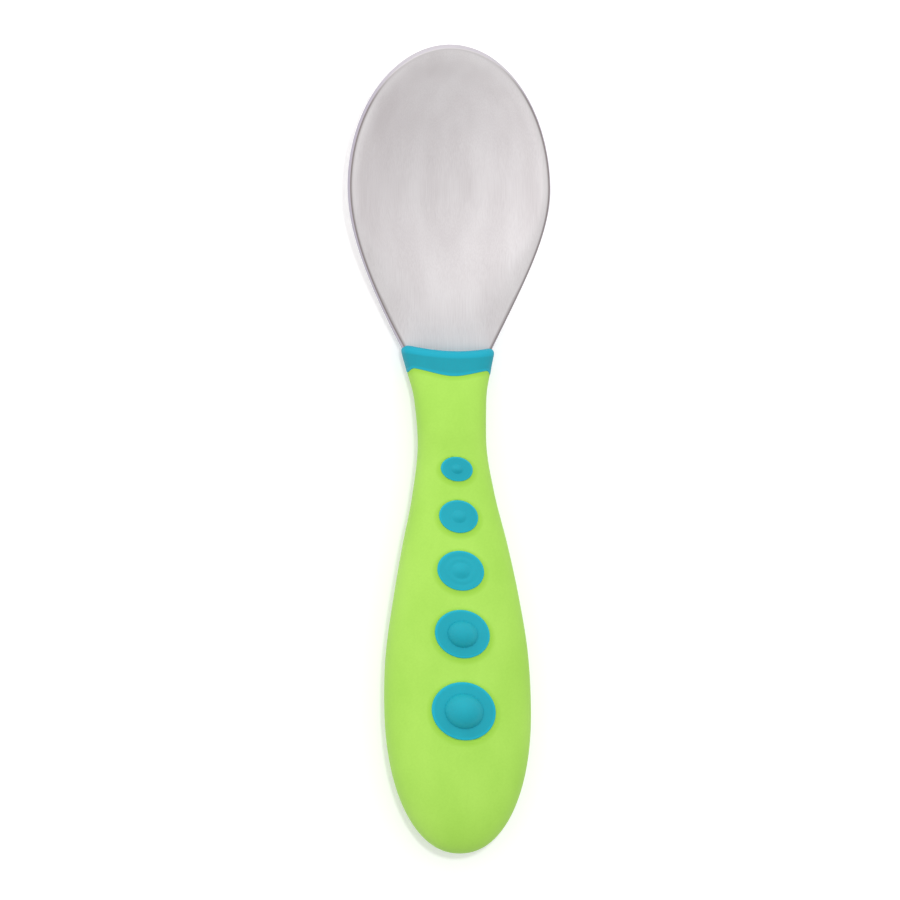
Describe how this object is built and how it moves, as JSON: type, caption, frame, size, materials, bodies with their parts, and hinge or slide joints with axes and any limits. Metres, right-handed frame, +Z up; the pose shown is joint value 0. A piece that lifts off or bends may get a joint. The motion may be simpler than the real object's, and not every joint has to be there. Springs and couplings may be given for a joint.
{
  "type": "baby spoon",
  "caption": "Baby spoon with a satin steel bowl, a collar round its neck and a plump soft handle with raised dots on top.",
  "frame": {"origin": "middle of the spoon's length and width, on the surface that it rests on", "axes": "+Y along the spoon towards the tip of the bowl, +Z up out of the bowl, +X across it"},
  "size_m": [0.0342, 0.1349, 0.0145],
  "materials": {
    "steel": "satin, with a fine grain along the spoon and a smooth rim",
    "core_plastic": "moulded",
    "blue_soft": "smooth matt elastomer",
    "green_soft": "smooth matt elastomer"
  },
  "bodies": {
    "root": {"spoon_blade": "steel", "handle_core": "core_plastic", "neck_collar": "blue_soft", "grip": "green_soft", "grip_dot_1": "blue_soft", "grip_dot_2": "blue_soft", "grip_dot_3": "blue_soft", "grip_dot_4": "blue_soft", "grip_dot_5": "blue_soft"}
  },
  "joints": []
}
